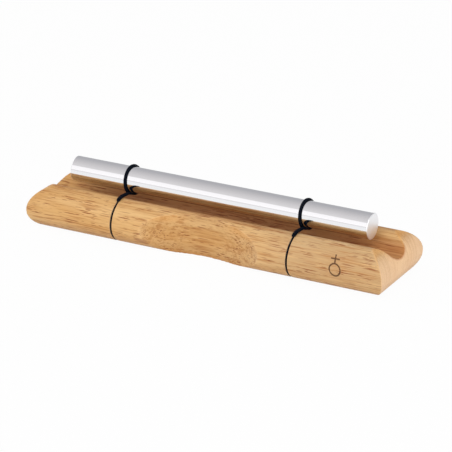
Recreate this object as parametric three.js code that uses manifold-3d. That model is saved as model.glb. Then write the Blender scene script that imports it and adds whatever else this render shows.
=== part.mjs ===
// Energy chime: a polished aluminium bar hung in two elastic cord loops over a grooved hardwood base.
// Units are millimetres. X runs along the bar, Y points to the back and Z points up.
// The origin is the middle of the base's underside.

import * as THREE from 'three';
import { mergeVertices } from 'three/addons/utils/BufferGeometryUtils.js';
import Module from 'manifold-3d';

const wasm = await Module();
wasm.setup();

// Base: a solid bar whose long sides bulge in half ellipses and whose ends are rounded over
const baseLength = 192.2;
const baseWidth = 46.4;
const baseHeight = 20.6;
const bulgeHeight = 9.5; // height of the widest line of the sides
const sideRoundWidth = 13.6;
const tuckHeight = 11.1; // half height of the ellipse that draws the sides in below the bulge
const endRoundLength = 14.5;
const endRoundHeight = 12.3;

// Groove along the top, with a soft edge where it meets the rims
const grooveRadius = 10.0;
const grooveDepth = 7.3;
const rimFillet = 3.0;

// Finger scoops in the two long sides: upright cylinder cuts
const scoopHalfWidth = 32.0;
const scoopDepth = 8.6;

// Saw slots for the cords, round the sides and the underside of the base
const kerfSpacing = 94.8;
const kerfWidth = 1.0;
const kerfDepth = 2.0;
const kerfRimDepth = 1.0;

// Rod
const rodDiameter = 12.7;
const rodLength = 160.6;
const rodChamfer = 0.35;
const rodSink = 0.95; // how far the rod's underside hangs below the rims

// Elastic cords
const cordDiameter = 1.6;
const cordRide = 0.7; // height of the cord's centre over the rims
const cordSeat = 0.1; // gap between a loop and the rod
const cordGap = 0.3; // gap between two stretches of one cord
const loopLead = 2.8; // how far one turn round the rod moves along X
const loopLean = 0.6; // how far the top of a loop leans towards -X
const squeezedHeight = 1.3; // height of the cord where the slot squeezes it
const squeezeClearance = 0.15;
const rimLand = 1.2; // straight stretch of the cord inside the crest of each rim
const exitAngle = THREE.MathUtils.degToRad(68); // where the cord rises out of its slot, from level

// Knot that closes each cord, in a pocket drilled up into the underside
const knotLength = 4.4;
const knotRadius = 1.9;
const knotWaist = 1.55;
const knotCrest = 0.4; // place of each bulge and shoulder, as a share of half the length
const knotShoulder = 0.8;
const knotRecess = 0.6;
const pocketClearance = 1.0;

// Facets
const arcSegments = 9;
const rodSegments = 48;
const pocketSegments = 24;
const knotSegments = 12;
const cordSides = 8;
const loopSteps = 30;
const bendSteps = 6;
const cutMargin = 2.0;
const halvings = 50;
const gapSamples = 120;

// Looks
const woodLook = { color: 0xcf9f68, roughness: 0.5, metalness: 0 };
const aluminiumLook = { color: 0xd6d7da, roughness: 0.18, metalness: 1 };
const cordLook = { color: 0x10131a, roughness: 0.75, metalness: 0 };

// Places that follow from the sizes
const halfWidth = baseWidth / 2;
const sideCentreY = halfWidth - sideRoundWidth;
const sideRoundHeight = baseHeight - bulgeHeight;
const footAngle = -Math.asin(bulgeHeight / tuckHeight);
const footHalf = sideCentreY + sideRoundWidth * Math.cos(footAngle);
const grooveCentreZ = baseHeight - grooveDepth + grooveRadius;
const cordRadius = cordDiameter / 2;
const rodRadius = rodDiameter / 2;
const rodAxisZ = baseHeight - rodSink + rodRadius;
const wrapRadius = rodRadius + cordSeat + cordRadius;

// Turns a drawing in (Y, Z) into a solid along X
function extrudeAlongX(shape, from, to) {
  const geometry = new THREE.ExtrudeGeometry(shape, {
    depth: to - from,
    bevelEnabled: false,
    curveSegments: arcSegments,
  });
  const axes = new THREE.Matrix4().makeBasis(
    new THREE.Vector3(0, 1, 0),
    new THREE.Vector3(0, 0, 1),
    new THREE.Vector3(1, 0, 0),
  );
  return geometry.applyMatrix4(axes).translate(from, 0, 0);
}

// Turns a drawing in (X, Z) into a solid along Y
function extrudeAlongY(shape, from, to) {
  const geometry = new THREE.ExtrudeGeometry(shape, {
    depth: to - from,
    bevelEnabled: false,
    curveSegments: arcSegments,
  });
  return geometry.rotateX(Math.PI / 2).translate(0, to, 0);
}

// Turns a drawing in (X, Y) into a solid along Z
function extrudeAlongZ(shape, from, to) {
  const geometry = new THREE.ExtrudeGeometry(shape, {
    depth: to - from,
    bevelEnabled: false,
    curveSegments: arcSegments,
  });
  return geometry.translate(0, 0, from);
}

// Closed geometry to a boolean solid
function solidOf(geometry) {
  const bare = geometry.clone();
  bare.deleteAttribute('normal');
  bare.deleteAttribute('uv');
  const merged = mergeVertices(bare);
  const mesh = new wasm.Mesh({
    numProp: 3,
    vertProperties: new Float32Array(merged.attributes.position.array),
    triVerts: new Uint32Array(merged.index.array),
  });
  return new wasm.Manifold(mesh);
}

// Boolean solid back to a geometry
function geometryOf(solid) {
  const mesh = solid.getMesh();
  const geometry = new THREE.BufferGeometry();
  geometry.setAttribute('position', new THREE.BufferAttribute(mesh.vertProperties, 3));
  geometry.setIndex(new THREE.BufferAttribute(mesh.triVerts, 1));
  geometry.computeVertexNormals();
  return geometry;
}

function namedMesh(name, geometry, look) {
  const mesh = new THREE.Mesh(geometry, new THREE.MeshStandardMaterial(look));
  mesh.name = name;
  return mesh;
}

// Point of the base's rounded side at an angle of its ellipse, moved out along the surface's normal
function sidePoint(angle, out) {
  const height = angle < 0 ? tuckHeight : sideRoundHeight;
  const normal = new THREE.Vector2(Math.cos(angle) / sideRoundWidth, Math.sin(angle) / height);
  const y = sideCentreY + sideRoundWidth * Math.cos(angle);
  const z = bulgeHeight + height * Math.sin(angle);
  return new THREE.Vector2(y, z).addScaledVector(normal.normalize(), out);
}

// The rounded edge between a side and the groove: a circle that touches both, found by halving
function softRim() {
  const groove = new THREE.Vector2(0, grooveCentreZ);
  let low = 0;
  let high = Math.PI / 2;
  for (let step = 0; step < halvings; step += 1) {
    const middle = (low + high) / 2;
    if (sidePoint(middle, -rimFillet).distanceTo(groove) > grooveRadius + rimFillet) {
      low = middle;
    } else {
      high = middle;
    }
  }
  const centre = sidePoint(low, -rimFillet);
  const touch = sidePoint(low, 0);
  return {
    y: centre.x,
    z: centre.y,
    top: centre.y + rimFillet,
    sideAngle: low,
    startAngle: Math.atan2(touch.y - centre.y, touch.x - centre.x),
    grooveAngle: Math.atan2(centre.y - grooveCentreZ, centre.x),
  };
}

const rim = softRim();

// Cross-section of the base: flat foot, rounded sides, soft rims and the groove between them
function baseSection() {
  const outline = new THREE.Shape();
  const { y, z, sideAngle, startAngle, grooveAngle } = rim;
  const sideArc = (centreY, height, from, to) => {
    outline.absellipse(centreY, bulgeHeight, sideRoundWidth, height, from, to, false, 0);
  };
  outline.moveTo(-footHalf, 0);
  outline.lineTo(footHalf, 0);
  sideArc(sideCentreY, tuckHeight, footAngle, 0);
  sideArc(sideCentreY, sideRoundHeight, 0, sideAngle);
  outline.absarc(y, z, rimFillet, startAngle, grooveAngle + Math.PI, false);
  outline.absarc(0, grooveCentreZ, grooveRadius, grooveAngle, -Math.PI - grooveAngle, true);
  outline.absarc(-y, z, rimFillet, -grooveAngle, Math.PI - startAngle, false);
  sideArc(-sideCentreY, sideRoundHeight, Math.PI - sideAngle, Math.PI);
  sideArc(-sideCentreY, tuckHeight, Math.PI, Math.PI - footAngle);
  return outline;
}

// Side view of the base: the two rounded ends. It stays clear of the rims between them.
function baseElevation() {
  const centreX = baseLength / 2 - endRoundLength;
  const centreZ = baseHeight - endRoundHeight;
  const low = -Math.asin(centreZ / endRoundHeight);
  const footEnd = centreX + endRoundLength * Math.cos(low);
  const clear = baseHeight + cutMargin;
  const outline = new THREE.Shape();
  outline.moveTo(-footEnd, 0);
  outline.lineTo(footEnd, 0);
  outline.absellipse(centreX, centreZ, endRoundLength, endRoundHeight, low, Math.PI / 2, false, 0);
  outline.lineTo(centreX, clear);
  outline.lineTo(-centreX, clear);
  outline.absellipse(-centreX, centreZ, endRoundLength, endRoundHeight, Math.PI / 2, Math.PI - low, false, 0);
  return outline;
}

// Plan of a scoop on the front: an arc that reaches scoopDepth into the bulge
function scoopPlan() {
  const radius = (scoopHalfWidth ** 2 + scoopDepth ** 2) / (2 * scoopDepth);
  const reach = Math.asin((scoopHalfWidth + cutMargin) / radius);
  const centreY = -(halfWidth - scoopDepth + radius);
  const outline = new THREE.Shape();
  outline.absarc(0, centreY, radius, Math.PI / 2 - reach, Math.PI / 2 + reach, false);
  outline.closePath();
  return outline;
}

// Circle through three points
function circleThrough(first, second, third) {
  const across = second.clone().sub(first);
  const along = third.clone().sub(first);
  const double = 2 * across.cross(along);
  const y = (along.y * across.lengthSq() - across.y * along.lengthSq()) / double;
  const z = (across.x * along.lengthSq() - along.x * across.lengthSq()) / double;
  return { y: first.x + y, z: first.y + z, radius: Math.hypot(y, z) };
}

// Floor of a saw slot: an arc through three depths, at the rim, at the bulge and at the lower edge
function kerfFloor() {
  const atRim = new THREE.Vector2(rim.y, rim.top - kerfRimDepth);
  const floor = circleThrough(atRim, sidePoint(0, -kerfDepth), sidePoint(footAngle, -kerfDepth));
  return { ...floor, rimAngle: Math.atan2(atRim.y - floor.z, atRim.x - floor.y) };
}

// The wood that a saw slot leaves standing: what lies inside its floor
function kerfCore() {
  const floor = kerfFloor();
  const low = Math.asin((kerfDepth - floor.z) / floor.radius);
  const lowY = floor.y + floor.radius * Math.cos(low);
  const outline = new THREE.Shape();
  outline.moveTo(-lowY, kerfDepth);
  outline.lineTo(lowY, kerfDepth);
  outline.absarc(floor.y, floor.z, floor.radius, low, floor.rimAngle, false);
  outline.absarc(-floor.y, floor.z, floor.radius, Math.PI - floor.rimAngle, Math.PI - low, false);
  return outline;
}

function slotSection() {
  const outline = new THREE.Shape();
  outline.moveTo(-halfWidth - cutMargin, -cutMargin);
  outline.lineTo(halfWidth + cutMargin, -cutMargin);
  outline.lineTo(halfWidth + cutMargin, baseHeight + cutMargin);
  outline.lineTo(-halfWidth - cutMargin, baseHeight + cutMargin);
  outline.closePath();
  return outline;
}

// Blind hole in the underside that takes a knot
function knotPocket() {
  const radius = knotLength / 2 + pocketClearance;
  const depth = knotRecess + 2 * knotRadius + pocketClearance;
  const hole = new THREE.CylinderGeometry(radius, radius, depth + cutMargin, pocketSegments);
  return hole.rotateX(Math.PI / 2).translate(0, 0, (depth - cutMargin) / 2);
}

const cordPlaces = [
  { side: 'left', x: -kerfSpacing / 2 },
  { side: 'right', x: kerfSpacing / 2 },
];

function makeBase() {
  const length = solidOf(extrudeAlongX(baseSection(), -baseLength / 2 - cutMargin, baseLength / 2 + cutMargin));
  const ends = solidOf(extrudeAlongY(baseElevation(), -halfWidth - cutMargin, halfWidth + cutMargin));
  let wood = length.intersect(ends);

  const scoop = extrudeAlongZ(scoopPlan(), -cutMargin, baseHeight + cutMargin);
  wood = wood.subtract(solidOf(scoop));
  wood = wood.subtract(solidOf(scoop.clone().rotateZ(Math.PI)));

  const slab = solidOf(extrudeAlongX(slotSection(), -kerfWidth / 2, kerfWidth / 2));
  const core = solidOf(extrudeAlongX(kerfCore(), -kerfWidth, kerfWidth));
  const slot = slab.subtract(core).add(solidOf(knotPocket()));
  for (const place of cordPlaces) {
    wood = wood.subtract(slot.translate([place.x, 0, 0]));
  }
  return namedMesh('wooden_base', geometryOf(wood), woodLook);
}

function makeRod() {
  const half = rodLength / 2;
  const profile = [
    new THREE.Vector2(0, -half),
    new THREE.Vector2(rodRadius - rodChamfer, -half),
    new THREE.Vector2(rodRadius, -half + rodChamfer),
    new THREE.Vector2(rodRadius, half - rodChamfer),
    new THREE.Vector2(rodRadius - rodChamfer, half),
    new THREE.Vector2(0, half),
  ];
  const bar = new THREE.LatheGeometry(profile, rodSegments);
  const mesh = namedMesh('chime_rod', bar, aluminiumLook);
  mesh.rotation.z = -Math.PI / 2;
  mesh.position.z = rodAxisZ;
  return mesh;
}

// Round section of the free cord
function cordSection() {
  const outline = new THREE.Shape();
  for (let side = 0; side < cordSides; side += 1) {
    const angle = (side / cordSides) * 2 * Math.PI;
    const y = cordRadius * Math.cos(angle);
    const z = cordRadius * Math.sin(angle);
    if (side === 0) {
      outline.moveTo(y, z);
    } else {
      outline.lineTo(y, z);
    }
  }
  outline.closePath();
  return outline;
}

function cordAlong(path, steps) {
  return new THREE.ExtrudeGeometry(cordSection(), { steps, bevelEnabled: false, extrudePath: path });
}

// Where a cord stops lying on the front rim and starts across the groove
const rimEnd = new THREE.Vector3(0, -(rim.y - rimLand), rim.top + cordRide);

// Angle round the rod, from the back, at which the taut front span meets it from below
const meetAngle =
  Math.atan2(rimEnd.z - rodAxisZ, rimEnd.y) +
  Math.acos(wrapRadius / Math.hypot(rimEnd.y, rimEnd.z - rodAxisZ));

// One turn round the rod, from below, up the back, over the top and down the front.
// The angle is counted from the back; the turn drifts along X so that its two ends pass side by side.
class RodTurn extends THREE.Curve {
  constructor(start, end) {
    super();
    this.start = start;
    this.end = end;
  }

  getPoint(share, target = new THREE.Vector3()) {
    const angle = THREE.MathUtils.lerp(this.start, this.end, share);
    const turn = (angle + Math.PI / 2) / (2 * Math.PI);
    const drift = loopLead * (0.5 - turn) - loopLean * Math.sin(Math.PI * turn) ** 2;
    return target.set(drift, wrapRadius * Math.cos(angle), rodAxisZ + wrapRadius * Math.sin(angle));
  }
}

const leaveAngle = Math.PI - meetAngle;
const wholeTurn = new RodTurn(meetAngle, leaveAngle);
const backRimEnd = new THREE.Vector3(rimEnd.x, -rimEnd.y, rimEnd.z);

// A straight stretch, drawn back at both ends by half the gap between stretches
function tautSpan(from, to) {
  const inset = new THREE.Vector3().subVectors(to, from).setLength(cordGap / 2);
  return new THREE.LineCurve3(from.clone().add(inset), to.clone().sub(inset));
}

// The stretch that rises out of the slot and bends over a rim; way is -1 at the front and 1 at the back
function rimBend(way) {
  const floor = kerfFloor();
  const slotEnd = floor.radius + squeezeClearance + squeezedHeight;
  const endY = (floor.y + slotEnd * Math.cos(exitAngle) - sideCentreY) / sideRoundWidth;
  const endZ = (floor.z + slotEnd * Math.sin(exitAngle) - bulgeHeight) / sideRoundHeight;
  const start = Math.atan2(endZ, endY) + cordGap / sideRoundWidth;
  const profile = [
    sidePoint(start, cordRide),
    sidePoint((start + rim.sideAngle) / 2, cordRide),
    new THREE.Vector2(rim.y, rim.top + cordRide),
    new THREE.Vector2(rim.y - rimLand + cordGap / 2, rim.top + cordRide),
  ];
  return new THREE.CatmullRomCurve3(profile.map((point) => new THREE.Vector3(0, way * point.x, point.y)));
}

// Outline of the squeezed cord in its slot: down the front, along the underside and up the back
function slotRun() {
  const floor = kerfFloor();
  const inner = floor.radius + squeezeClearance;
  const outer = inner + squeezedHeight;
  const innerZ = kerfDepth - squeezeClearance;
  const outerZ = innerZ - squeezedHeight;
  const innerLow = Math.asin((innerZ - floor.z) / inner);
  const outerLow = Math.asin((outerZ - floor.z) / outer);
  const innerY = floor.y + inner * Math.cos(innerLow);
  const outline = new THREE.Shape();
  outline.absarc(-floor.y, floor.z, outer, Math.PI - exitAngle, Math.PI - outerLow, false);
  outline.absarc(floor.y, floor.z, outer, outerLow, exitAngle, false);
  outline.absarc(floor.y, floor.z, inner, exitAngle, innerLow, true);
  outline.lineTo(-innerY, innerZ);
  outline.absarc(-floor.y, floor.z, inner, Math.PI - innerLow, Math.PI - exitAngle, true);
  return outline;
}

// Knot: a short barrel with a waist, lying along the underside
function knot() {
  const half = knotLength / 2;
  const profile = [
    new THREE.Vector2(0, -half),
    new THREE.Vector2(knotWaist, -half * knotShoulder),
    new THREE.Vector2(knotRadius, -half * knotCrest),
    new THREE.Vector2(knotWaist, 0),
    new THREE.Vector2(knotRadius, half * knotCrest),
    new THREE.Vector2(knotWaist, half * knotShoulder),
    new THREE.Vector2(0, half),
  ];
  return new THREE.LatheGeometry(profile, knotSegments).translate(0, 0, knotRecess + knotRadius);
}

function makeCord(place) {
  const squeezed = kerfWidth / 2 - squeezeClearance;
  const run = solidOf(extrudeAlongX(slotRun(), -squeezed, squeezed)).add(solidOf(knot()));
  const trim = cordGap / 2 / wrapRadius;
  const turn = new RodTurn(meetAngle + trim, leaveAngle - trim);
  const stretches = {
    base_run: geometryOf(run),
    front_rim_bend: cordAlong(rimBend(-1), bendSteps),
    front_span: cordAlong(tautSpan(rimEnd, wholeTurn.getPoint(0)), 1),
    rod_loop: cordAlong(turn, loopSteps),
    back_span: cordAlong(tautSpan(wholeTurn.getPoint(1), backRimEnd), 1),
    back_rim_bend: cordAlong(rimBend(1), bendSteps),
  };
  const cord = new THREE.Group();
  cord.position.x = place.x;
  for (const [stretch, geometry] of Object.entries(stretches)) {
    cord.add(namedMesh(`${place.side}_cord_${stretch}`, geometry, cordLook));
  }
  return cord;
}

// Least gap of one cord to itself across the groove, measured on points of its centre line
function leastCordGap() {
  const route = new THREE.CurvePath();
  route.add(new THREE.LineCurve3(rimEnd, wholeTurn.getPoint(0)));
  route.add(wholeTurn);
  route.add(new THREE.LineCurve3(wholeTurn.getPoint(1), backRimEnd));
  const points = route.getSpacedPoints(gapSamples);
  const apart = Math.ceil((4 * cordDiameter * gapSamples) / route.getLength());
  let least = Infinity;
  for (let first = 0; first <= gapSamples; first += 1) {
    for (let second = first + apart; second <= gapSamples; second += 1) {
      least = Math.min(least, points[first].distanceTo(points[second]));
    }
  }
  return least - cordDiameter;
}

console.log(`least gap of a cord to itself: ${leastCordGap().toFixed(2)} mm`);

const chime = new THREE.Group();
chime.add(makeBase());
chime.add(makeRod());
for (const place of cordPlaces) {
  chime.add(makeCord(place));
}

export default chime;
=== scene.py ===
# Energy chime: a polished bar hung in two elastic cords over a grooved wooden base.
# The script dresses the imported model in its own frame: metres, +X along the bar, +Z up.
import math

import bpy
import numpy as np
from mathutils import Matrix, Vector


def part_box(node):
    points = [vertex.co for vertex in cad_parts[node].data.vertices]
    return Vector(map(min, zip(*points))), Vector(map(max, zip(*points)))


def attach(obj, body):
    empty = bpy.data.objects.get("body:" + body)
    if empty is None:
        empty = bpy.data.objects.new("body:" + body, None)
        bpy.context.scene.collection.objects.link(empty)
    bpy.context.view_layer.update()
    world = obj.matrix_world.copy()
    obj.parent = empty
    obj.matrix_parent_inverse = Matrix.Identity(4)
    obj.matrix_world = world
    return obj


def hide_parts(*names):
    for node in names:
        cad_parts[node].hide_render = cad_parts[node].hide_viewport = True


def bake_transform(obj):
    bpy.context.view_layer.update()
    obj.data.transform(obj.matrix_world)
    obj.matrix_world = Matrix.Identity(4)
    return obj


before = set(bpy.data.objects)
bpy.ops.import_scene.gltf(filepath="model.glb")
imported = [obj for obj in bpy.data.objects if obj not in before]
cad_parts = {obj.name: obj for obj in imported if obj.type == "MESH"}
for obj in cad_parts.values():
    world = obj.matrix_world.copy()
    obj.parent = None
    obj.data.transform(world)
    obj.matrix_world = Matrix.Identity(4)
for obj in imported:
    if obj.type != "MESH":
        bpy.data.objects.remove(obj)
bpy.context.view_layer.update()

# Wooden base
# One block of pale oiled hardwood, moulded along its length with bulging sides and a groove between soft
# rims. Its ends are rounded over, front and back are scooped for the fingers, and the whole is sanded.
MM = 0.001
base_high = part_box("wooden_base")[1]
BASE_HALF_LENGTH = base_high.x
BASE_HALF_WIDTH = base_high.y
BASE_CREST = 21.1 * MM
BULGE_HEIGHT = 9.5 * MM
SIDE_WIDTH = 13.6 * MM
SIDE_HEIGHT = BASE_CREST - BULGE_HEIGHT
TUCK_HEIGHT = 11.1 * MM
SIDE_CENTRE = BASE_HALF_WIDTH - SIDE_WIDTH
FOOT_ANGLE = -math.asin(BULGE_HEIGHT / TUCK_HEIGHT)
END_LENGTH = 14.5 * MM
END_HEIGHT = 12.3 * MM
GROOVE_RADIUS = 10.0 * MM
GROOVE_FLOOR = 13.3 * MM
GROOVE_CENTRE = GROOVE_FLOOR + GROOVE_RADIUS
RIM_FILLET = 5.0 * MM
SCOOP_HALF_WIDTH = 32.0 * MM
SCOOP_DEPTH = 8.6 * MM
SCOOP_RADIUS = (SCOOP_HALF_WIDTH**2 + SCOOP_DEPTH**2) / (2 * SCOOP_DEPTH)
SCOOP_CENTRE = BASE_HALF_WIDTH - SCOOP_DEPTH + SCOOP_RADIUS
SCOOP_SIDES = 512
SANDED_EDGE = 0.42 * MM
SANDING_FORCE = 0.5
SANDING_PASSES = 2
KEPT_FACES = 0.5
CUT_MARGIN = 4.0 * MM
ARC_STEPS = 40
HALVINGS = 50
ALONG_X = (math.pi / 2, 0, math.pi / 2)
ALONG_Y = (math.pi / 2, 0, 0)


def side_point(angle, out=0.0):
    """Point (y, z) of the bulging side at an angle of its ellipse, moved out along the surface's normal."""
    height = SIDE_HEIGHT if angle > 0 else TUCK_HEIGHT
    normal = Vector((math.cos(angle) / SIDE_WIDTH, math.sin(angle) / height)).normalized()
    point = Vector((SIDE_CENTRE + SIDE_WIDTH * math.cos(angle), BULGE_HEIGHT + height * math.sin(angle)))
    return point + normal * out


def soft_rim():
    """Centre of the rim's rounding, which touches side and groove, and the side's angle where it starts."""
    groove = Vector((0.0, GROOVE_CENTRE))
    low, high = 0.0, math.pi / 2
    for _ in range(HALVINGS):
        middle = (low + high) / 2
        if (side_point(middle, -RIM_FILLET) - groove).length > GROOVE_RADIUS + RIM_FILLET:
            low = middle
        else:
            high = middle
    return side_point(low, -RIM_FILLET), low


def arc(centre, radii, start, end):
    """Points of an arc of an ellipse, both ends included."""
    angles = np.linspace(start, end, ARC_STEPS)
    return [(centre[0] + radii[0] * math.cos(a), centre[1] + radii[1] * math.sin(a)) for a in angles]


def mirrored(points):
    """The same outline on the other side, in reverse order."""
    return [(-across, up) for across, up in reversed(points)]


def pick(piece):
    """Selects one piece alone and makes it the active one."""
    bpy.ops.object.select_all(action="DESELECT")
    piece.select_set(True)
    bpy.context.view_layer.objects.active = piece


def face_outwards(piece):
    """Turns all faces of a closed piece outwards."""
    pick(piece)
    bpy.ops.object.mode_set(mode="EDIT")
    bpy.ops.mesh.select_all(action="SELECT")
    bpy.ops.mesh.normals_make_consistent(inside=False)
    bpy.ops.object.mode_set(mode="OBJECT")


def drawn_solid(outline, depth, turn):
    """Pushes a drawn outline out into a solid, half its depth to each side."""
    bpy.ops.object.select_all(action="DESELECT")
    bpy.ops.mesh.primitive_circle_add(vertices=len(outline), fill_type="NGON")
    solid = bpy.context.object
    for vertex, (across, up) in zip(solid.data.vertices, outline):
        vertex.co = (across, up, -depth / 2)
    bpy.ops.object.mode_set(mode="EDIT")
    bpy.ops.mesh.select_all(action="SELECT")
    bpy.ops.mesh.extrude_region_move(TRANSFORM_OT_translate={"value": (0, 0, depth)})
    bpy.ops.object.mode_set(mode="OBJECT")
    face_outwards(solid)
    solid.rotation_euler = turn
    bpy.ops.object.transform_apply(location=False, rotation=True, scale=False)
    return solid


def apply_modifier(piece, kind, **settings):
    """Adds a modifier with its settings and applies it."""
    modifier = piece.modifiers.new(kind.lower(), kind)
    for name, value in settings.items():
        setattr(modifier, name, value)
    bpy.context.view_layer.objects.active = piece
    bpy.ops.object.modifier_apply(modifier=modifier.name)


def combine(piece, tool, operation):
    """Cuts a piece with a tool, or keeps what the two share, and clears the tool away."""
    apply_modifier(piece, "BOOLEAN", operation=operation, object=tool, solver="EXACT")
    bpy.data.objects.remove(tool)


rim_centre, RIM_ANGLE = soft_rim()
RIM_TOP = rim_centre.y + RIM_FILLET
touch = side_point(RIM_ANGLE)
rim_start = math.atan2(touch.y - rim_centre.y, touch.x - rim_centre.x)
groove_angle = math.atan2(rim_centre.y - GROOVE_CENTRE, rim_centre.x)

half_section = arc((SIDE_CENTRE, BULGE_HEIGHT), (SIDE_WIDTH, TUCK_HEIGHT), FOOT_ANGLE, 0)
half_section += arc((SIDE_CENTRE, BULGE_HEIGHT), (SIDE_WIDTH, SIDE_HEIGHT), 0, RIM_ANGLE)[1:]
half_section += arc(rim_centre, (RIM_FILLET, RIM_FILLET), rim_start, groove_angle + math.pi)[1:]
half_section += arc((0, GROOVE_CENTRE), (GROOVE_RADIUS, GROOVE_RADIUS), groove_angle, -math.pi / 2)[1:]
section = half_section + mirrored(half_section)[1:]
base = drawn_solid(section, 2 * (BASE_HALF_LENGTH + CUT_MARGIN), ALONG_X)
base.name = "moulded_base"

end_centre = (BASE_HALF_LENGTH - END_LENGTH, BASE_CREST - END_HEIGHT)
end_low = -math.asin(end_centre[1] / END_HEIGHT)
half_elevation = arc(end_centre, (END_LENGTH, END_HEIGHT), end_low, math.pi / 2)
half_elevation.append((end_centre[0], BASE_CREST + CUT_MARGIN))
elevation = half_elevation + mirrored(half_elevation)
combine(base, drawn_solid(elevation, 2 * (BASE_HALF_WIDTH + CUT_MARGIN), ALONG_Y), "INTERSECT")

for way in (-1, 1):
    bpy.ops.mesh.primitive_cylinder_add(
        vertices=SCOOP_SIDES,
        radius=SCOOP_RADIUS,
        depth=4 * BASE_CREST,
        location=(0, way * SCOOP_CENTRE, 0),
    )
    combine(base, bpy.context.object, "DIFFERENCE")

apply_modifier(base, "REMESH", mode="VOXEL", voxel_size=SANDED_EDGE, adaptivity=0.0)
apply_modifier(base, "SMOOTH", factor=SANDING_FORCE, iterations=SANDING_PASSES)
apply_modifier(base, "DECIMATE", ratio=KEPT_FACES)

# Slots and knot holes: each slot is sawn round the sides and the underside after sanding, so its edges are
# crisp. The hole is drilled up into the underside where the slot crosses the middle.
SLOT_SHIFT = -0.4 * MM
SLOT_SPACING = 94.8 * MM
SLOT_WIDTH = 1.2 * MM
SLOT_DEPTH = 2.0 * MM
SLOT_RIM_DEPTH = 1.1 * MM
KNOT_HOLE_RADIUS = 3.2 * MM
KNOT_HOLE_DEPTH = 5.4 * MM
KNOT_HOLE_SIDES = 64
BASE_SHARP_ANGLE = math.radians(32)
cord_places = {"left": SLOT_SHIFT - SLOT_SPACING / 2, "right": SLOT_SHIFT + SLOT_SPACING / 2}

core_centre = (SIDE_CENTRE, BULGE_HEIGHT)
core_width = SIDE_WIDTH - SLOT_DEPTH
core_low = -math.asin((BULGE_HEIGHT - SLOT_DEPTH) / (TUCK_HEIGHT - SLOT_DEPTH))
half_core = arc(core_centre, (core_width, TUCK_HEIGHT - SLOT_DEPTH), core_low, 0)
half_core += arc(core_centre, (core_width, RIM_TOP - SLOT_RIM_DEPTH - BULGE_HEIGHT), 0, math.pi / 2)[1:]
core_outline = half_core + mirrored(half_core)
for place in cord_places.values():
    bpy.ops.object.select_all(action="DESELECT")
    bpy.ops.mesh.primitive_cube_add(size=1, location=(0, 0, BASE_CREST / 2))
    blade = bpy.context.object
    blade.scale = (SLOT_WIDTH, 2 * (BASE_HALF_WIDTH + CUT_MARGIN), BASE_CREST + 2 * CUT_MARGIN)
    bpy.ops.object.transform_apply(location=True, rotation=False, scale=True)
    combine(blade, drawn_solid(core_outline, 2 * SLOT_WIDTH, ALONG_X), "DIFFERENCE")
    blade.location.x = place
    combine(base, blade, "DIFFERENCE")
    bpy.ops.mesh.primitive_cylinder_add(
        vertices=KNOT_HOLE_SIDES,
        radius=KNOT_HOLE_RADIUS,
        depth=2 * KNOT_HOLE_DEPTH,
        location=(place, 0, 0),
    )
    combine(base, bpy.context.object, "DIFFERENCE")

pick(base)
bpy.ops.object.shade_smooth_by_angle(angle=BASE_SHARP_ANGLE)

# Oiled hardwood: pale honey with lengthwise growth lines, fine fibres and open pores. The pattern runs
# through the whole block, so the pores are dashes along the grain and dots where the wood is cut across.
HONEY = (0.66, 0.36, 0.118, 1)
PALE_HONEY = (0.77, 0.485, 0.205, 1)
LATE_WOOD = (0.46, 0.19, 0.045, 1)
SHEEN_GREY = (0.40, 0.355, 0.265, 1)
SMALLEST_GRAIN = 0.02
GRAIN_CORE = 0.6


class Value:
    """A shader socket that takes part in plain arithmetic: each operator adds a Math node."""

    def __init__(self, nodes, socket):
        self.nodes = nodes
        self.socket = socket

    def math(self, operation, *others):
        return self.nodes.math(operation, self, *others)

    def __add__(self, other):
        return self.math("ADD", other)

    __radd__ = __add__

    def __sub__(self, other):
        return self.math("SUBTRACT", other)

    def __rsub__(self, other):
        return self.nodes.math("SUBTRACT", other, self)

    def __mul__(self, other):
        return self.math("MULTIPLY", other)

    __rmul__ = __mul__

    def __truediv__(self, other):
        return self.math("DIVIDE", other)

    def __pow__(self, other):
        return self.math("POWER", other)


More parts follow.
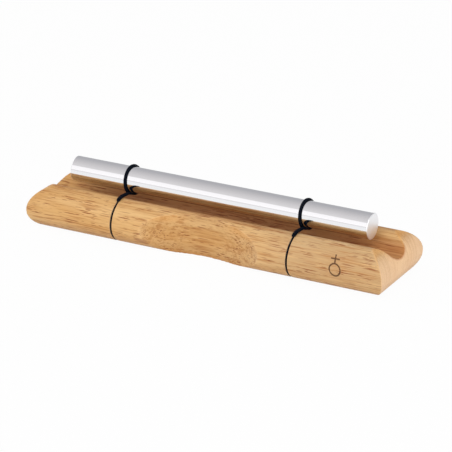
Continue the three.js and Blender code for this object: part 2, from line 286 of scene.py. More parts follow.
class Nodes:
    """The node tree of one finish."""

    def __init__(self, tree):
        self.tree = tree

    def node(self, kind, settings=None, inputs=None, output=0):
        """Adds a node, its settings first and then its sockets' values or links, and gives its output.
        A tuple of names gives several outputs."""
        made = self.tree.nodes.new(kind)
        for name, value in (settings or {}).items():
            if name == "stops":
                self.set_stops(made.color_ramp, value)
            else:
                setattr(made, name, value)
        for socket, value in (inputs or {}).items():
            self.feed(made.inputs[socket], value)
        if isinstance(output, tuple):
            return [Value(self, made.outputs[name]) for name in output]
        return Value(self, made.outputs[output])

    def set_stops(self, ramp, stops):
        while len(ramp.elements) < len(stops):
            ramp.elements.new(1.0)
        for element, (position, colour) in zip(ramp.elements, stops):
            element.position = position
            element.color = (*colour, 1.0)

    def feed(self, socket, value):
        if isinstance(value, Value):
            self.tree.links.new(value.socket, socket)
        else:
            socket.default_value = value

    def math(self, operation, *values):
        return self.node("ShaderNodeMath", {"operation": operation}, dict(enumerate(values)))

    def step(self, value, low, high):
        """Rises smoothly from 0 at low to 1 at high."""
        inputs = {"Value": value, "From Min": low, "From Max": high}
        return self.node("ShaderNodeMapRange", {"interpolation_type": "SMOOTHSTEP"}, inputs)

    def mix(self, share, first, second, blend="MIX"):
        """Goes from the first colour to the second as the share rises from 0 to 1."""
        settings = {"data_type": "RGBA", "blend_type": blend}
        return self.node("ShaderNodeMix", settings, {0: share, 6: first, 7: second}, output=2)

    def split(self, place):
        return self.node("ShaderNodeSeparateXYZ", None, {0: place}, output=("X", "Y", "Z"))

    def scaled(self, place, cell, shift=(0.0, 0.0, 0.0)):
        """Coordinates in which one unit is the cell's size along each axis."""
        scale = tuple(1 / size for size in cell)
        return self.node("ShaderNodeMapping", None, {"Vector": place, "Location": shift, "Scale": scale})

    def noise(self, place, detail=2.0, roughness=0.5):
        inputs = {"Vector": place, "Scale": 1.0, "Detail": detail, "Roughness": roughness}
        return self.node("ShaderNodeTexNoise", None, inputs)

    def grains(self, place, largest):
        """Scattered grains of mixed sizes: 1 inside a grain, 0 outside. The largest is a share of a cell."""
        inputs = {"Vector": place, "Scale": 1.0}
        distance, tint = self.node("ShaderNodeTexVoronoi", None, inputs, output=("Distance", "Color"))
        size = (self.split(tint)[0] * largest).math("MAXIMUM", SMALLEST_GRAIN)
        return self.step(distance / size, 1.0, GRAIN_CORE)

    def bump(self, height, strength, distance):
        inputs = {"Strength": strength, "Distance": distance, "Height": height}
        return self.node("ShaderNodeBump", None, inputs, output="Normal")


def new_finish(name):
    """An empty material with its node helper and its shader."""
    material = bpy.data.materials.new(name)
    material.use_nodes = True
    return material, Nodes(material.node_tree), material.node_tree.nodes["Principled BSDF"]


def dress(piece, material):
    """Gives a piece one finish."""
    piece.data.materials.clear()
    piece.data.materials.append(material)


wood_material, wood, wood_shader = new_finish("oiled_hardwood")
block = wood.node("ShaderNodeTexCoord", output="Object")
block_x, block_y, block_z = wood.split(block)
along = block_x.math("ABSOLUTE")
from_middle = block_y.math("ABSOLUTE")

# Growth lines run round the pith, which lies behind the block. Clouds, streaks and fibres vary the tone, and
# the sides towards the right end are greyed with a painted sheen.
PITH = (88.0 * MM, -12.0 * MM)
GROWTH_SPACING = 1.3 * MM
GROWTH_LENGTH = 55 * MM
WANDER_CELL = (90 * MM, 30 * MM, 30 * MM)
WANDER_REACH = 5 * MM
RIPPLE_CELL = (16 * MM, 5 * MM, 5 * MM)
RIPPLE_REACH = 1.0 * MM
CLOUD_CELL = (60 * MM, 11 * MM, 11 * MM)
CLOUD_SHIFT = (3.1, 0.4, 1.7)
CLOUD_LIMITS = (0.36, 0.66)
STREAK_CELL = (26 * MM, 1.0 * MM, 1.0 * MM)
STREAK_SHIFT = (0.7, 2.48, -0.04)
FIBRE_CELL = (8 * MM, 0.36 * MM, 0.36 * MM)
SHEEN_ALONG = (12 * MM, 55 * MM)
SHEEN_ACROSS = (9 * MM, 13 * MM)
SHEEN_UP = (2 * MM, 8 * MM)
SHEEN_SHARE = 0.3
wander = wood.noise(wood.scaled(block, WANDER_CELL)) - 0.5
ripple = wood.noise(wood.scaled(block, RIPPLE_CELL)) - 0.5
from_pith = ((block_y - PITH[0]) ** 2 + (block_z - PITH[1]) ** 2) ** 0.5
rings = (from_pith + wander * WANDER_REACH + ripple * RIPPLE_REACH) / GROWTH_SPACING
growth_place = wood.node("ShaderNodeCombineXYZ", None, {0: block_x / GROWTH_LENGTH, 1: rings, 2: 0.0})
growth = wood.noise(growth_place, detail=4, roughness=0.6)
cloud = wood.noise(wood.scaled(block, CLOUD_CELL, CLOUD_SHIFT))
streak = wood.noise(wood.scaled(block, STREAK_CELL, STREAK_SHIFT), detail=3, roughness=0.6)
fibre = wood.noise(wood.scaled(block, FIBRE_CELL), detail=3, roughness=0.6)
colour = wood.mix(wood.step(cloud, *CLOUD_LIMITS), HONEY, PALE_HONEY)
# Painted sheen: a grey tint on the sides towards the right end, standing in for light, not a tone of the
# wood.
painted_sheen = wood.step(block_x, *SHEEN_ALONG) * wood.step(from_middle, *SHEEN_ACROSS)
painted_sheen = painted_sheen * wood.step(block_z, *SHEEN_UP)
colour = wood.mix(painted_sheen * SHEEN_SHARE, colour, SHEEN_GREY)
grain_layers = (
    (growth, (0.50, 0.70), 0.52, LATE_WOOD),
    (streak, (0.50, 0.66), 0.7, LATE_WOOD),
    (streak, (0.47, 0.32), 0.60, PALE_HONEY),
    (fibre, (0.50, 0.76), 0.38, LATE_WOOD),
)
for pattern, limits, share, tone in grain_layers:
    colour = wood.mix(wood.step(pattern, *limits) * share, colour, tone)

# Open pores: long and short ones, thick in some bands of the wood and sparse in others.
PORE_BROWN = (0.29, 0.082, 0.02, 1)
PORE_BAND_CELL = (26 * MM, 4 * MM, 4 * MM)
PORE_BAND_SHIFT = (1.9, 4.4, 3.3)
PORE_BAND_LIMITS = (0.40, 0.58)
LONG_PORE_CELL = (10.0 * MM, 0.62 * MM, 0.62 * MM)
LONG_PORE_SHIFT = (0.0, 0.29, -0.39)
LONG_PORE_SIZE = 0.50
SHORT_PORE_CELL = (4.6 * MM, 0.5 * MM, 0.5 * MM)
SHORT_PORE_SHIFT = (0.3, 0.96, -0.38)
SHORT_PORE_SIZE = 0.46
SPARSE_SHARE = 0.35
SHORT_PORE_SHARE = 0.9
pore_bands = wood.noise(wood.scaled(block, PORE_BAND_CELL, PORE_BAND_SHIFT))
pore_gate = wood.step(pore_bands, *PORE_BAND_LIMITS)
long_pores = wood.grains(wood.scaled(block, LONG_PORE_CELL, LONG_PORE_SHIFT), LONG_PORE_SIZE)
short_pores = wood.grains(wood.scaled(block, SHORT_PORE_CELL, SHORT_PORE_SHIFT), SHORT_PORE_SIZE)
pores = long_pores * (SPARSE_SHARE + (1 - SPARSE_SHARE) * pore_gate)
pores = pores.math("MAXIMUM", short_pores * pore_gate * SHORT_PORE_SHARE)
colour = wood.mix(pores, colour, PORE_BROWN)

# Where the surface turns towards an end it cuts the fibres: near the top first at a slant, which is warmer in
# tone, and then straight across, which is pale with fine specks.
OBLIQUE_CUT = (0.76, 0.37, 0.10, 1)
OBLIQUE_IN = (0.08, 0.32)
OBLIQUE_OUT = (0.66, 0.42)
OBLIQUE_UP = (14 * MM, 17 * MM)
OBLIQUE_SHARE = 0.5
CROSS_CUT = (0.86, 0.585, 0.35, 1)
CROSS_CUT_LIMITS = (0.40, 0.85)
CROSS_CUT_SHARE = 0.78
SPECKLE_CELL = (0.7 * MM, 0.42 * MM, 0.42 * MM)
facing = wood.split(wood.node("ShaderNodeNewGeometry", output="Normal"))
turned = facing[0].math("ABSOLUTE")
oblique = wood.step(turned, *OBLIQUE_IN) * wood.step(turned, *OBLIQUE_OUT)
oblique = oblique * wood.step(block_z, *OBLIQUE_UP)
colour = wood.mix(oblique * OBLIQUE_SHARE, colour, OBLIQUE_CUT)
cross_cut = wood.step(turned, *CROSS_CUT_LIMITS)
speckle = wood.noise(wood.scaled(block, SPECKLE_CELL), detail=3, roughness=0.65)
end_grain = CROSS_CUT
for pattern, limits, share in ((speckle, (0.50, 0.72), 0.28), (growth, (0.48, 0.70), 0.22)):
    end_grain = wood.mix(wood.step(pattern, *limits) * share, end_grain, LATE_WOOD)
colour = wood.mix(cross_cut * CROSS_CUT_SHARE, colour, end_grain)

# The scoops, cut across the grain, drink more oil and are a little deeper in tone. The wood near the table is
# darkened with painted shade, and the edges between the cuts get a pale painted highlight.
SCOOP_TONE = (0.91, 0.90, 0.90, 1)
SCOOP_SKIN = (0.3 * MM, 0.1 * MM)
UNDER_SKIN = (0.1 * MM, 0.3 * MM)
EDGE_HIGHLIGHT = (0.86, 0.60, 0.32, 1)
HIGHLIGHT_REACH = (0.5 * MM, 0.1 * MM)
SCOOP_HIGHLIGHT = 0.16
END_HIGHLIGHT = 0.3
SHORT_OF_END = (5 * MM, 2 * MM)
LOW_SHADE = (0.87, 0.85, 0.83, 1)
LOW_SHADE_UP = (8 * MM, 1.5 * MM)
FOOT_SHADE_UP = (2.6 * MM, 0.2 * MM)
FOOT_SHADE_SHARE = 0.4


def deepened(plain, share, tone):
    """A colour darkened by a tone, as far as the share goes."""
    return wood.mix(share, plain, wood.mix(1.0, plain, tone, "MULTIPLY"))


side_across = (from_middle - SIDE_CENTRE) / SIDE_WIDTH
side_up = (block_z - BULGE_HEIGHT) / SIDE_HEIGHT
under_side = (1 - (side_across**2 + side_up**2) ** 0.5) * SIDE_HEIGHT
from_scoop = (block_x**2 + (from_middle - SCOOP_CENTRE) ** 2) ** 0.5 - SCOOP_RADIUS
scooped = wood.step(from_scoop, *SCOOP_SKIN) * wood.step(under_side, *UNDER_SKIN)
colour = deepened(colour, scooped, SCOOP_TONE)
past_middle = along - end_centre[0]
end_along = past_middle / END_LENGTH
end_up = (block_z - end_centre[1]) / END_HEIGHT
from_end = (1 - (end_along**2 + end_up**2) ** 0.5) * END_HEIGHT
from_side = under_side.math("ABSOLUTE")
scoop_edge = from_scoop.math("ABSOLUTE").math("MAXIMUM", from_side)
end_edge = from_end.math("ABSOLUTE").math("MAXIMUM", from_side) + wood.step(past_middle, *SHORT_OF_END)
# Painted highlight: a pale line along the edges of the scoops and the ends.
painted_highlight = wood.step(scoop_edge, *HIGHLIGHT_REACH) * SCOOP_HIGHLIGHT
painted_highlight = painted_highlight.math("MAXIMUM", wood.step(end_edge, *HIGHLIGHT_REACH) * END_HIGHLIGHT)
colour = wood.mix(painted_highlight, colour, EDGE_HIGHLIGHT)
# Painted shade: the wood grows darker towards the bottom, and darker still along the edge it stands on.
colour = deepened(colour, wood.step(block_z, *LOW_SHADE_UP), LOW_SHADE)
colour = wood.mix(wood.step(block_z, *FOOT_SHADE_UP) * FOOT_SHADE_SHARE, colour, LATE_WOOD)

# The groove and the rims beside the rod are tinted darker with painted shade, which stands in for the soft
# shade under the rod.
ROD_HALF_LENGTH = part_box("chime_rod")[1].x
GROOVE_SHADE = (0.76, 0.57, 0.46, 1)
GROOVE_EDGE = (GROOVE_RADIUS + 1.2 * MM, GROOVE_RADIUS)
GROOVE_UP = (GROOVE_FLOOR + 4.5 * MM, GROOVE_FLOOR + 2.0 * MM)
GROOVE_ALONG = (-78 * MM, -52 * MM)
UNDER_ROD_SHADE = (0.56, 0.48, 0.41, 1)
ROD_SHADE_ACROSS = (2.8 * MM, 1.4 * MM)
ROD_SHADE_ALONG = (ROD_HALF_LENGTH + 4 * MM, ROD_HALF_LENGTH - 26 * MM)
ROD_SHADE_WANDER = 30 * MM
RIM_SHADE = (0.72, 0.60, 0.51, 1)
RIM_SHADE_REACH = (GROOVE_RADIUS + 8.0 * MM, GROOVE_RADIUS + 1.0 * MM)
RIM_SHADE_UP = (17 * MM, 19.5 * MM)
RIM_SHADE_ALONG = (75 * MM, 15 * MM)
from_groove = (block_y**2 + (block_z - GROOVE_CENTRE) ** 2) ** 0.5
in_groove = wood.step(from_groove, *GROOVE_EDGE) * wood.step(block_z, *GROOVE_UP)
under_rod = wood.step(along + wander * ROD_SHADE_WANDER, *ROD_SHADE_ALONG)
rod_shade = in_groove * wood.step(from_middle, *ROD_SHADE_ACROSS) * under_rod
rim_shade = wood.step(from_groove, *RIM_SHADE_REACH) * wood.step(block_z, *RIM_SHADE_UP)
rim_shade = rim_shade * wood.step(along, *RIM_SHADE_ALONG)
# Painted shade: the groove is darkened, except near its left end.
colour = deepened(colour, in_groove * wood.step(block_x, *GROOVE_ALONG), GROOVE_SHADE)
# Painted shade: a darker strip along the groove floor under the rod.
colour = deepened(colour, rod_shade, UNDER_ROD_SHADE)
# Painted shade: the rims beside the rod are darkened towards the groove.
colour = deepened(colour, rim_shade, RIM_SHADE)

# One small reddish knot in the wood, on the front at the left edge of the scoop.
PIN_KNOT = (-31.5 * MM, -22.0 * MM, 5.0 * MM)
PIN_KNOT_SIZE = (4.6 * MM, 3.0 * MM, 1.7 * MM)
PIN_KNOT_RED = (0.36, 0.15, 0.06, 1)
PIN_KNOT_WOBBLE = 0.8
PIN_KNOT_EDGE = (1.0, 0.35)
PIN_KNOT_SHARE = 0.55
knot_shift = tuple(-place / size for place, size in zip(PIN_KNOT, PIN_KNOT_SIZE))
knot_place = wood.scaled(block, PIN_KNOT_SIZE, knot_shift)
from_knot = wood.node("ShaderNodeVectorMath", {"operation": "LENGTH"}, {0: knot_place}, output="Value")
pin_knot = wood.step(from_knot + (ripple + wander) * PIN_KNOT_WOBBLE, *PIN_KNOT_EDGE)
colour = wood.mix(pin_knot * PIN_KNOT_SHARE, colour, PIN_KNOT_RED)

# Burnt sign: an old sky-chart sign, a ring with a cross on top, on the front of the right end. It is burnt
# into the wood with a hot point, so its lines are dark brown, sunken and a little uneven.
SIGN_X = 72.1 * MM
SIGN_ANGLE = math.radians(14)
SIGN_ANGLE_UP = SIGN_ANGLE + 0.2
SIGN_ANGLE_DOWN = SIGN_ANGLE - 0.05
SIGN_LEAN = -0.12
SIGN_LINE = 0.32 * MM
SIGN_RING_RADIUS = 2.75 * MM
SIGN_RING_HEIGHT = -1.2 * MM
STEM_TOP = 5.5 * MM
BAR_HEIGHT = 3.9 * MM
BAR_HALF = 1.9 * MM
BURNT = (0.075, 0.026, 0.010, 1)
BURN_EDGE = (SIGN_LINE * 1.5, SIGN_LINE * 0.7)
BURN_UNEVEN = 0.5 * MM
BURN_SHARE = 0.9
FRONT_SIDE = (-10 * MM, -12 * MM)
sign_place = side_point(SIGN_ANGLE)
sign_up = (side_point(SIGN_ANGLE_UP) - side_point(SIGN_ANGLE_DOWN)).normalized()
sign_v = (block_y + sign_place.x) * -sign_up.x + (block_z - sign_place.y) * sign_up.y
sign_x = block_x - SIGN_X - (sign_v - SIGN_RING_HEIGHT) * SIGN_LEAN
from_stem = sign_x.math("ABSOLUTE")
ring_line = (sign_x**2 + (sign_v - SIGN_RING_HEIGHT) ** 2) ** 0.5 - SIGN_RING_RADIUS
ring_line = ring_line.math("ABSOLUTE")
stem_middle = (STEM_TOP + SIGN_RING_HEIGHT + SIGN_RING_RADIUS) / 2
stem_half = STEM_TOP - stem_middle
stem_line = from_stem.math("MAXIMUM", (sign_v - stem_middle).math("ABSOLUTE") - stem_half)
bar_line = (sign_v - BAR_HEIGHT).math("ABSOLUTE").math("MAXIMUM", from_stem - BAR_HALF)
sign_line = ring_line.math("MINIMUM", stem_line).math("MINIMUM", bar_line)
sign_line = sign_line + (fibre - 0.5) * BURN_UNEVEN
burn = wood.step(sign_line, *BURN_EDGE) * wood.step(block_y, *FRONT_SIDE)
colour = wood.mix(burn * BURN_SHARE, colour, BURNT)

# The oiled surface has a dull sheen. Fibres stand a little proud of it, and pores and burnt lines lie lower
# and are rougher.
FIBRE_RELIEF = 0.25
PORE_RELIEF = 0.5
BURN_RELIEF = 1.2
WOOD_BUMP = 0.22
WOOD_RELIEF = 0.12 * MM
OILED_ROUGHNESS = 0.46
FIBRE_ROUGHNESS = 0.14
PORE_ROUGHNESS = 0.2
BURN_ROUGHNESS = 0.2
OILED_SPECULAR = 0.35
relief = fibre * FIBRE_RELIEF - pores * PORE_RELIEF - burn * BURN_RELIEF
roughness = OILED_ROUGHNESS + fibre * FIBRE_ROUGHNESS + pores * PORE_ROUGHNESS + burn * BURN_ROUGHNESS
wood.feed(wood_shader.inputs["Base Color"], colour)
wood.feed(wood_shader.inputs["Roughness"], roughness)
wood.feed(wood_shader.inputs["Normal"], wood.bump(relief, WOOD_BUMP, WOOD_RELIEF))
wood_shader.inputs["Specular IOR Level"].default_value = OILED_SPECULAR
dress(base, wood_material)
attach(base, "base")
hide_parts("wooden_base")

# Chime rod
# A length of drawn aluminium bar, ground and polished along its length. Its ends are faced on a lathe and
# lightly chamfered, and it hangs free in the cords.
rod_low, rod_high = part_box("chime_rod")
ROD_LENGTH = rod_high.x - rod_low.x
ROD_RADIUS = (rod_high.z - rod_low.z) / 2
ROD_AXIS = (rod_low.z + rod_high.z) / 2
ROD_CHAMFER = 0.3 * MM
CHAMFER_SEGMENTS = 3
END_FACING = 0.5
ROD_SIDES = 192
ROD_SHARP_ANGLE = math.radians(8)
bpy.ops.object.select_all(action="DESELECT")
bpy.ops.mesh.primitive_cylinder_add(vertices=ROD_SIDES, radius=ROD_RADIUS, depth=ROD_LENGTH)
rod = bpy.context.object
rod.name = "polished_rod"
bpy.ops.object.mode_set(mode="EDIT")
bpy.ops.mesh.select_mode(type="FACE")
bpy.ops.mesh.select_all(action="DESELECT")
bpy.ops.object.mode_set(mode="OBJECT")
for polygon in rod.data.polygons:
    polygon.select = abs(polygon.normal.z) > END_FACING
bpy.ops.object.mode_set(mode="EDIT")
bpy.ops.mesh.bevel(offset=ROD_CHAMFER, segments=CHAMFER_SEGMENTS, profile=0.5, affect="EDGES")
bpy.ops.object.mode_set(mode="OBJECT")
rod.rotation_euler = (0, math.pi / 2, 0)
rod.location = (0, 0, ROD_AXIS)
bpy.ops.object.transform_apply(location=True, rotation=True, scale=False)
bpy.ops.object.shade_smooth_by_angle(angle=ROD_SHARP_ANGLE)

# Polished aluminium: fine lines from drawing along the bar, a faint haze, and turning rings on the end faces.
ALUMINIUM = (0.88, 0.885, 0.90, 1)
ALUMINIUM_DULL = (0.80, 0.80, 0.815, 1)
HAZE_CELL = (12 * MM, 5 * MM, 5 * MM)
HAZE_SHARE = 0.5
DRAWN_CELL = (40 * MM, 0.25 * MM, 0.25 * MM)
DRAWN_RELIEF = 0.25
WOBBLE_CELL = (5 * MM, 0.5 * MM, 0.5 * MM)
WOBBLE_RELIEF = 0.08
TURNING_PITCH = 0.16 * MM
FACE_EDGE = 0.02 * MM
METAL_BUMP = 0.05
METAL_RELIEF = 0.02 * MM
POLISHED_ROUGHNESS = 0.05
DRAWN_ROUGHNESS = 0.06
FACED_ROUGHNESS = 0.32
rod_material, metal, metal_shader = new_finish("polished_aluminium")
bar = metal.node("ShaderNodeTexCoord", output="Object")
bar_x, bar_y, bar_z = metal.split(bar)
from_axis = (bar_y**2 + (bar_z - ROD_AXIS) ** 2) ** 0.5
body_end = ROD_LENGTH / 2 - ROD_CHAMFER
face = metal.step(bar_x.math("ABSOLUTE"), body_end - FACE_EDGE, body_end + FACE_EDGE)
drawn = metal.noise(metal.scaled(bar, DRAWN_CELL), detail=3)
haze = metal.noise(metal.scaled(bar, HAZE_CELL), detail=3)
wobble = metal.noise(metal.scaled(bar, WOBBLE_CELL))
turning = (from_axis * (2 * math.pi / TURNING_PITCH)).math("SINE") * 0.5 + 0.5
metal_relief = (1 - face) * (drawn * DRAWN_RELIEF + wobble * WOBBLE_RELIEF) + face * turning
metal_roughness = POLISHED_ROUGHNESS + drawn * DRAWN_ROUGHNESS + face * FACED_ROUGHNESS
metal.feed(metal_shader.inputs["Base Color"], metal.mix(haze * HAZE_SHARE, ALUMINIUM, ALUMINIUM_DULL))
metal.feed(metal_shader.inputs["Roughness"], metal_roughness)
metal.feed(metal_shader.inputs["Normal"], metal.bump(metal_relief, METAL_BUMP, METAL_RELIEF))
metal_shader.inputs["Metallic"].default_value = 1.0
dress(rod, rod_material)
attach(rod, "rod")
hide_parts("chime_rod")

# Elastic cords
# Two rings of braided elastic, each knotted under the base. The cord lies squeezed in its slot, swells where
# it leaves it at the rims, crosses the groove, and takes one turn round the rod between the rims.
CORD_HALF_WIDTH = 1.0 * MM
CORD_HALF_HEIGHT = 0.74 * MM
DRAWN_HALF_WIDTH = 0.72 * MM
DRAWN_HALF_HEIGHT = 0.58 * MM
SQUEEZED_HALF_WIDTH = 0.59 * MM
SQUEEZED_HALF_HEIGHT = 0.7 * MM
CORD_RIDE = 0.74 * MM
CORD_SEAT = -0.08 * MM
WRAP_RADIUS = ROD_RADIUS + CORD_SEAT + DRAWN_HALF_HEIGHT
SLOT_LINE = 0.85 * MM
SQUEEZE_REACH = (-0.35 * SLOT_LINE, 0.3 * SLOT_LINE)
DRAW_REACH = (WRAP_RADIUS + 2.0 * MM, WRAP_RADIUS + 0.2 * MM)
RIM_LAND = 1.2 * MM
EXIT_ANGLE = math.radians(63)
KINK_ANGLE = math.radians(66.5)
KINK_RIDE = 0.6 * MM
SPAN_HELD = 10.0 * MM
SPAN_CARRIED = 2.8 * MM
LIFT_PLACE = 6.5 * MM
LIFT_HEIGHT = 20.95 * MM
TURN_LEAD = 2.8 * MM
TURN_LEAN = 1.3 * MM
KNOT_LINE = 2.5 * MM
KNOT_LEVEL = 1.0 * MM
KNOT_TURNS = 2.75
KNOT_LENGTH = 3.9 * MM
KNOT_COIL_RADIUS = 1.25 * MM
KNOT_CORD_RADIUS = 0.66 * MM
KNOT_STEPS = 160
UNDERSIDE_STEPS = 60
SIDE_STEPS = 120
TURN_STEPS = 400
CORD_SIDES = 24
CORD_STEP = 0.16 * MM
CORD_SHARP_ANGLE = math.radians(50)
SMOOTH_REACH = 2
BRAID_STRANDS = 4
BRAID_PITCH = 1.1 * MM
BRAID_DEPTH = 0.12
BRAID_LEVEL = 0.25


def smooth_share(value, low, high):
    """Rises smoothly from 0 at low to 1 at high."""
    share = min(max((value - low) / (high - low), 0.0), 1.0)
    return share * share * (3 - 2 * share)


def base_line():
    """Middle line of a cord in its slot, from under the knot to where it leaves the slot at the front."""
    foot = side_point(FOOT_ANGLE, -SLOT_LINE)
    points = []
    for y in np.linspace(0, foot.x, UNDERSIDE_STEPS):
        lift = 1 - smooth_share(y, KNOT_LEVEL, KNOT_HOLE_RADIUS)
        points.append((0.0, -y, foot.y + lift * (KNOT_LINE - foot.y)))
    for angle in np.linspace(FOOT_ANGLE, EXIT_ANGLE, SIDE_STEPS)[1:]:
        y, z = side_point(angle, -SLOT_LINE)
        points.append((0.0, -y, z))
    return points


def rim_line():
    """Middle line of the cord from its slot, round the kink where it comes out, and over the front rim."""
    kink = side_point(KINK_ANGLE, KINK_RIDE)
    over = [side_point(EXIT_ANGLE, -SLOT_LINE), kink, Vector((rim_centre.x, RIM_TOP + CORD_RIDE))]
    over.append(over[-1] - Vector((RIM_LAND, 0)))
    return [(0.0, -y, z) for y, z in over]


def turn_point(angle):
    """Point of the turn round the rod; the angle counts from the back, and the turn drifts along the rod."""
    turn = (angle + math.pi / 2) / (2 * math.pi)
    drift = TURN_LEAD * (0.5 - turn) - TURN_LEAN * math.sin(math.pi * turn) ** 2
    return (drift, WRAP_RADIUS * math.cos(angle), ROD_AXIS + WRAP_RADIUS * math.sin(angle))


def other_side(points):
    """The same stretch at the back, run the other way."""
    return [(-x, -y, z) for x, y, z in reversed(points)]


base_front = base_line()
rim_front = rim_line()
lifted = Vector((0, -LIFT_PLACE, LIFT_HEIGHT))
below_axis = ROD_AXIS - lifted.z
reach = math.hypot(lifted.y, below_axis)
meet_angle = math.atan2(-below_axis, lifted.y) + math.acos(WRAP_RADIUS / reach)
span_front = [rim_front[-1], tuple(lifted), turn_point(meet_angle)]
turn_line = [turn_point(angle) for angle in np.linspace(meet_angle, math.pi - meet_angle, TURN_STEPS)]

stretches = {
    "base_run": other_side(base_front) + base_front[1:],
    "front_rim_bend": rim_front,
    "front_span": span_front,
    "rod_loop": turn_line,
    "back_span": other_side(span_front),
    "back_rim_bend": other_side(rim_front),
}


def evenly_spaced(points, step):
    """The same line with points at even steps, both ends kept."""
    line = np.array(points)
    travelled = np.concatenate([[0], np.cumsum(np.linalg.norm(np.diff(line, axis=0), axis=1))])
    count = max(2, round(travelled[-1] / step)) + 1
    at = np.linspace(0, travelled[-1], count)
    return np.stack([np.interp(at, travelled, line[:, axis]) for axis in range(3)], axis=1)


def closed_route():
    """The whole ring of cord with its corners eased, and where each stretch begins on it."""
    pieces = [evenly_spaced(points, CORD_STEP)[:-1] for points in stretches.values()]
    starts = np.concatenate([[0], np.cumsum([len(piece) for piece in pieces])])
    route = np.concatenate(pieces)
    offsets = np.arange(-SMOOTH_REACH, SMOOTH_REACH + 1)
    eased = np.mean([np.roll(route, offset, axis=0) for offset in offsets], axis=0)
    return eased, starts


def swell(centre):
    """Half width and half height of the cord: squeezed in the slot, flat over the rim, thin on the rod."""
    beside, above = abs(centre[1]) - SIDE_CENTRE, centre[2] - BULGE_HEIGHT
    if beside > 0:
        height = SIDE_HEIGHT if above > 0 else TUCK_HEIGHT
        out = (math.hypot(beside / SIDE_WIDTH, above / height) - 1) * height
        free = smooth_share(out, *SQUEEZE_REACH)
    else:
        free = 1.0 if above > 0 else 0.0
    from_rod = math.hypot(centre[1], centre[2] - ROD_AXIS)
    drawn_in = smooth_share(from_rod, *DRAW_REACH)
    half_width = CORD_HALF_WIDTH + drawn_in * (DRAWN_HALF_WIDTH - CORD_HALF_WIDTH)
    half_height = CORD_HALF_HEIGHT + drawn_in * (DRAWN_HALF_HEIGHT - CORD_HALF_HEIGHT)
    return (
        SQUEEZED_HALF_WIDTH + free * (half_width - SQUEEZED_HALF_WIDTH),
        SQUEEZED_HALF_HEIGHT + free * (half_height - SQUEEZED_HALF_HEIGHT),
    )


def braided_tube(name, centres, before, after, first_step, sizes, sideways=(1.0, 0.0, 0.0)):
    """A closed tube along a line, its skin raised where the strands of the braid cross over."""
    rows = len(centres)
    padded = np.concatenate([[before], centres, [after]])
    tangents = padded[2:] - padded[:-2]
    tangents /= np.linalg.norm(tangents, axis=1)[:, None]
    across = np.array(sideways) - tangents * (tangents @ np.array(sideways))[:, None]
    across /= np.linalg.norm(across, axis=1)[:, None]
    upright = np.cross(tangents, across)
    angles = np.linspace(0, 2 * math.pi, CORD_SIDES, endpoint=False)
    travel = (first_step + np.arange(rows)) * CORD_STEP * math.pi / BRAID_PITCH
    one_way = np.cos(BRAID_STRANDS * angles[None, :] + travel[:, None])
    other_way = np.cos(BRAID_STRANDS * angles[None, :] - travel[:, None])
    strands = one_way * other_way
    swelling = 1 + BRAID_DEPTH * (strands - BRAID_LEVEL)
    wide = sizes[:, :1] * np.cos(angles)[None, :] * swelling
    tall = sizes[:, 1:] * np.sin(angles)[None, :] * swelling
    skin = centres[:, None, :] + wide[..., None] * across[:, None, :] + tall[..., None] * upright[:, None, :]
    faces = []
    for row in range(rows - 1):
        low, high = row * CORD_SIDES, (row + 1) * CORD_SIDES
        for side in range(CORD_SIDES):
            following = (side + 1) % CORD_SIDES
            faces.append((low + side, low + following, high + following, high + side))
    faces.append(tuple(reversed(range(CORD_SIDES))))
    faces.append(tuple(range((rows - 1) * CORD_SIDES, rows * CORD_SIDES)))
    mesh = bpy.data.meshes.new(name)
    mesh.from_pydata(skin.reshape(-1, 3).tolist(), [], faces)
    tube = bpy.data.objects.new(name, mesh)
    bpy.context.scene.collection.objects.link(tube)
    braid = mesh.attributes.new("braid", "FLOAT", "POINT")
    braid.data.foreach_set("value", strands.astype(np.float32).ravel())
    face_outwards(tube)
    bpy.ops.object.shade_smooth_by_angle(angle=CORD_SHARP_ANGLE)
    return tube


def add_knot(piece, place):
    """Winds the knot round the middle of a run, in its hole under the base, and joins it to the run."""
    turns = np.linspace(0, 1, KNOT_STEPS)
    angles = 2 * math.pi * KNOT_TURNS * turns
    line = np.stack(
        [
            place + KNOT_COIL_RADIUS * np.sin(angles),
            KNOT_LENGTH * (turns - 0.5),
            KNOT_LINE - KNOT_COIL_RADIUS * np.cos(angles),
        ],
        axis=1,
    )
    round_size = np.full((KNOT_STEPS, 2), KNOT_CORD_RADIUS)
    before, after = 2 * line[0] - line[1], 2 * line[-1] - line[-2]
    knot = braided_tube("knot", line, before, after, 0, round_size, (0.0, 1.0, 0.0))
    pick(piece)
    knot.select_set(True)
    bpy.ops.object.join()


# Braided sheath: black yarn woven round the rubber core. The raised strands have a cool sheen, and the yarn
# between them is in dull shade.
YARN_BLACK = (0.004, 0.008, 0.018, 1)
YARN_SHADE = (0.0008, 0.0013, 0.003, 1)
YARN_LIMITS = (-0.5, 0.7)
YARN_ROUGHNESS = 0.72
RAISED_SHEEN = 0.2
FLUFF_CELL = (0.2 * MM, 0.2 * MM, 0.2 * MM)
FLUFF_ROUGHNESS = 0.1
YARN_SPECULAR = 0.06
cord_material, yarn, yarn_shader = new_finish("braided_elastic")
raised = yarn.node("ShaderNodeAttribute", {"attribute_name": "braid"}, output="Fac")
fluff = yarn.noise(yarn.scaled(yarn.node("ShaderNodeTexCoord", output="Object"), FLUFF_CELL))
yarn_tone = yarn.step(raised, *YARN_LIMITS)
yarn_roughness = YARN_ROUGHNESS - yarn_tone * RAISED_SHEEN + fluff * FLUFF_ROUGHNESS
yarn.feed(yarn_shader.inputs["Base Color"], yarn.mix(yarn_tone, YARN_SHADE, YARN_BLACK))
yarn.feed(yarn_shader.inputs["Roughness"], yarn_roughness)
yarn_shader.inputs["Specular IOR Level"].default_value = YARN_SPECULAR

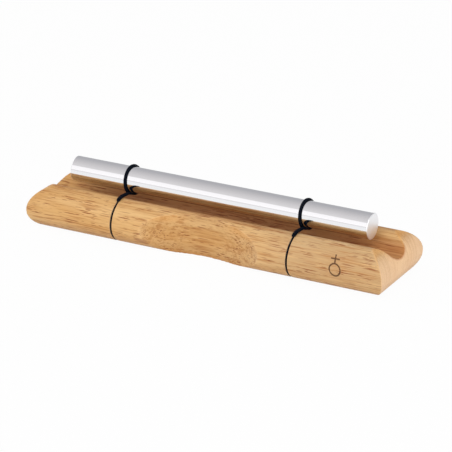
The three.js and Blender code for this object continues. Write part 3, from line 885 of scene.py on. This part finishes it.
route, starts = closed_route()
sizes = np.array([swell(point) for point in route])
count = len(route)
for side, place in cord_places.items():
    moved = route + np.array([place, 0.0, 0.0])
    for index, stretch in enumerate(stretches):
        steps = np.arange(starts[index], starts[index + 1] + 1)
        line = moved[steps % count]
        before = moved[(steps[0] - 1) % count]
        after = moved[(steps[-1] + 1) % count]
        piece = braided_tube(f"{side}_braid_{stretch}", line, before, after, steps[0], sizes[steps % count])
        if stretch == "base_run":
            add_knot(piece, place)
        dress(piece, cord_material)
        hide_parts(f"{side}_cord_{stretch}")
        if stretch == "base_run":
            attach(piece, "base")
        elif stretch == "rod_loop":
            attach(piece, "cord_loops")
        elif stretch == "front_rim_bend":
            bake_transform(piece)
        elif stretch == "back_rim_bend":
            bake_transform(piece)
        else:
            way = -1 if stretch == "front_span" else 1
            held = (place, way * SPAN_HELD, LIFT_HEIGHT)
            carried = (place, way * SPAN_CARRIED, LIFT_HEIGHT)
            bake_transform(piece)

# Floor
# A plain white table top, out to well past the view, that shows white and keeps the chime's soft shadow.
FLOOR_HALF = 6.0
FLOOR_WHITE = (0.88, 0.88, 0.88, 1)
FLOOR_ROUGHNESS = 0.9
FLOOR_GLOW = 0.96
GLOW_WHITE = (1, 1, 1, 1)
SEEN_BY = ("Is Camera Ray", "Is Glossy Ray", "Is Transmission Ray")
bpy.ops.object.select_all(action="DESELECT")
bpy.ops.mesh.primitive_plane_add(size=2 * FLOOR_HALF, location=(0, 0, 0))
floor = bpy.context.object
floor.name = "table_top"
floor_material, table, floor_shader = new_finish("white_table")
floor_shader.inputs["Base Color"].default_value = FLOOR_WHITE
floor_shader.inputs["Roughness"].default_value = FLOOR_ROUGHNESS
by_camera, by_gloss, by_glass = table.node("ShaderNodeLightPath", output=SEEN_BY)
seen = by_camera.math("MAXIMUM", by_gloss).math("MAXIMUM", by_glass)
glow = table.node("ShaderNodeEmission", None, {"Color": GLOW_WHITE, "Strength": 1.0})
lit = Value(table, floor_shader.outputs[0])
shown = table.node("ShaderNodeMixShader", None, {0: seen * FLOOR_GLOW, 1: lit, 2: glow})
table.feed(table.tree.nodes["Material Output"].inputs["Surface"], shown)
dress(floor, floor_material)

# Light
# A pale studio dome, dimmer at the back and on the right, with soft lamps at the left, above the front, low
# at the front and at the right. A wide pale lamp at the front left draws the bright band along the rod.
DOME_TONES = [
    (0.0, (0.88, 0.855, 0.86)),
    (0.5, (0.64, 0.62, 0.63)),
    (0.82, (0.49, 0.485, 0.505)),
    (1.0, (0.46, 0.46, 0.48)),
]
DOME_DARK = (0.0, 0.0, 0.0, 1)
DIM_FRONT = 0.6
DIM_BACK = 0.4
DOME_RIGHT = (-0.3, 0.15)
DOME_BACK = (0.1, 0.6)
world = bpy.data.worlds.new("studio")
bpy.context.scene.world = world
world.use_nodes = True
dome = Nodes(world.node_tree)
heading_x, heading_y = dome.split(dome.node("ShaderNodeTexCoord", output="Generated"))[:2]
sky = dome.node("ShaderNodeValToRGB", {"stops": DOME_TONES}, {0: heading_y * 0.5 + 0.5})
to_right = dome.step(heading_x, *DOME_RIGHT)
to_back = dome.step(heading_y, *DOME_BACK)
sky = dome.mix(to_right * (DIM_FRONT + (DIM_BACK - DIM_FRONT) * to_back), sky, DOME_DARK)
dome.feed(world.node_tree.nodes["Background"].inputs["Color"], sky)


def soft_lamp(name, place, size, power, aim_x=0.0):
    """A flat lamp that faces the rod at a place along it."""
    lamp_data = bpy.data.lights.new(name, "AREA")
    lamp_data.shape = "RECTANGLE"
    lamp_data.size, lamp_data.size_y = size
    lamp_data.energy = power
    lamp = bpy.data.objects.new(name, lamp_data)
    bpy.context.scene.collection.objects.link(lamp)
    lamp.location = place
    lamp.rotation_mode = "QUATERNION"
    lamp.rotation_quaternion = (Vector(place) - Vector((aim_x, 0, ROD_AXIS))).to_track_quat("Z", "Y")
    lamp.visible_camera = False


soft_lamp("left_lamp", place=(-1.4, 0.05, 1.0), size=(1.6, 0.8), power=4.5)
soft_lamp("top_lamp", place=(0.35, -0.8, 1.4), size=(1.4, 1.0), power=7.3)
soft_lamp("front_lamp", place=(0.3, -1.5, 0.23), size=(1.2, 0.4), power=3.3)
soft_lamp("right_lamp", place=(1.27, -0.11, 0.45), size=(2.6, 0.9), power=11.6)
soft_lamp("band_lamp", place=(-0.66, -1.22, 0.6), size=(1.5, 0.85), power=1.2, aim_x=-0.4)

# Camera
# It looks down on the front of the chime from the right, from about 1.2 m away, with a long lens.
VIEW_YAW = math.radians(28.39)
VIEW_PITCH = math.radians(22.03)
VIEW_DISTANCE = 1186 * MM
VIEW_AIM = Vector((0.6, 4.3, 9.35)) * MM
FOCAL_PIXELS = 2461
IMAGE_PIXELS = 452
SENSOR_WIDTH = 36.0
towards = Vector(
    (
        math.sin(VIEW_YAW) * math.cos(VIEW_PITCH),
        -math.cos(VIEW_YAW) * math.cos(VIEW_PITCH),
        math.sin(VIEW_PITCH),
    )
)
camera_data = bpy.data.cameras.new("camera")
camera_data.sensor_width = SENSOR_WIDTH
camera_data.lens = FOCAL_PIXELS / IMAGE_PIXELS * SENSOR_WIDTH
camera = bpy.data.objects.new("camera", camera_data)
bpy.context.scene.collection.objects.link(camera)
camera.location = VIEW_AIM + towards * VIEW_DISTANCE
camera.rotation_mode = "QUATERNION"
camera.rotation_quaternion = towards.to_track_quat("Z", "Y")
bpy.context.scene.camera = camera
bpy.context.scene.view_settings.view_transform = "Standard"
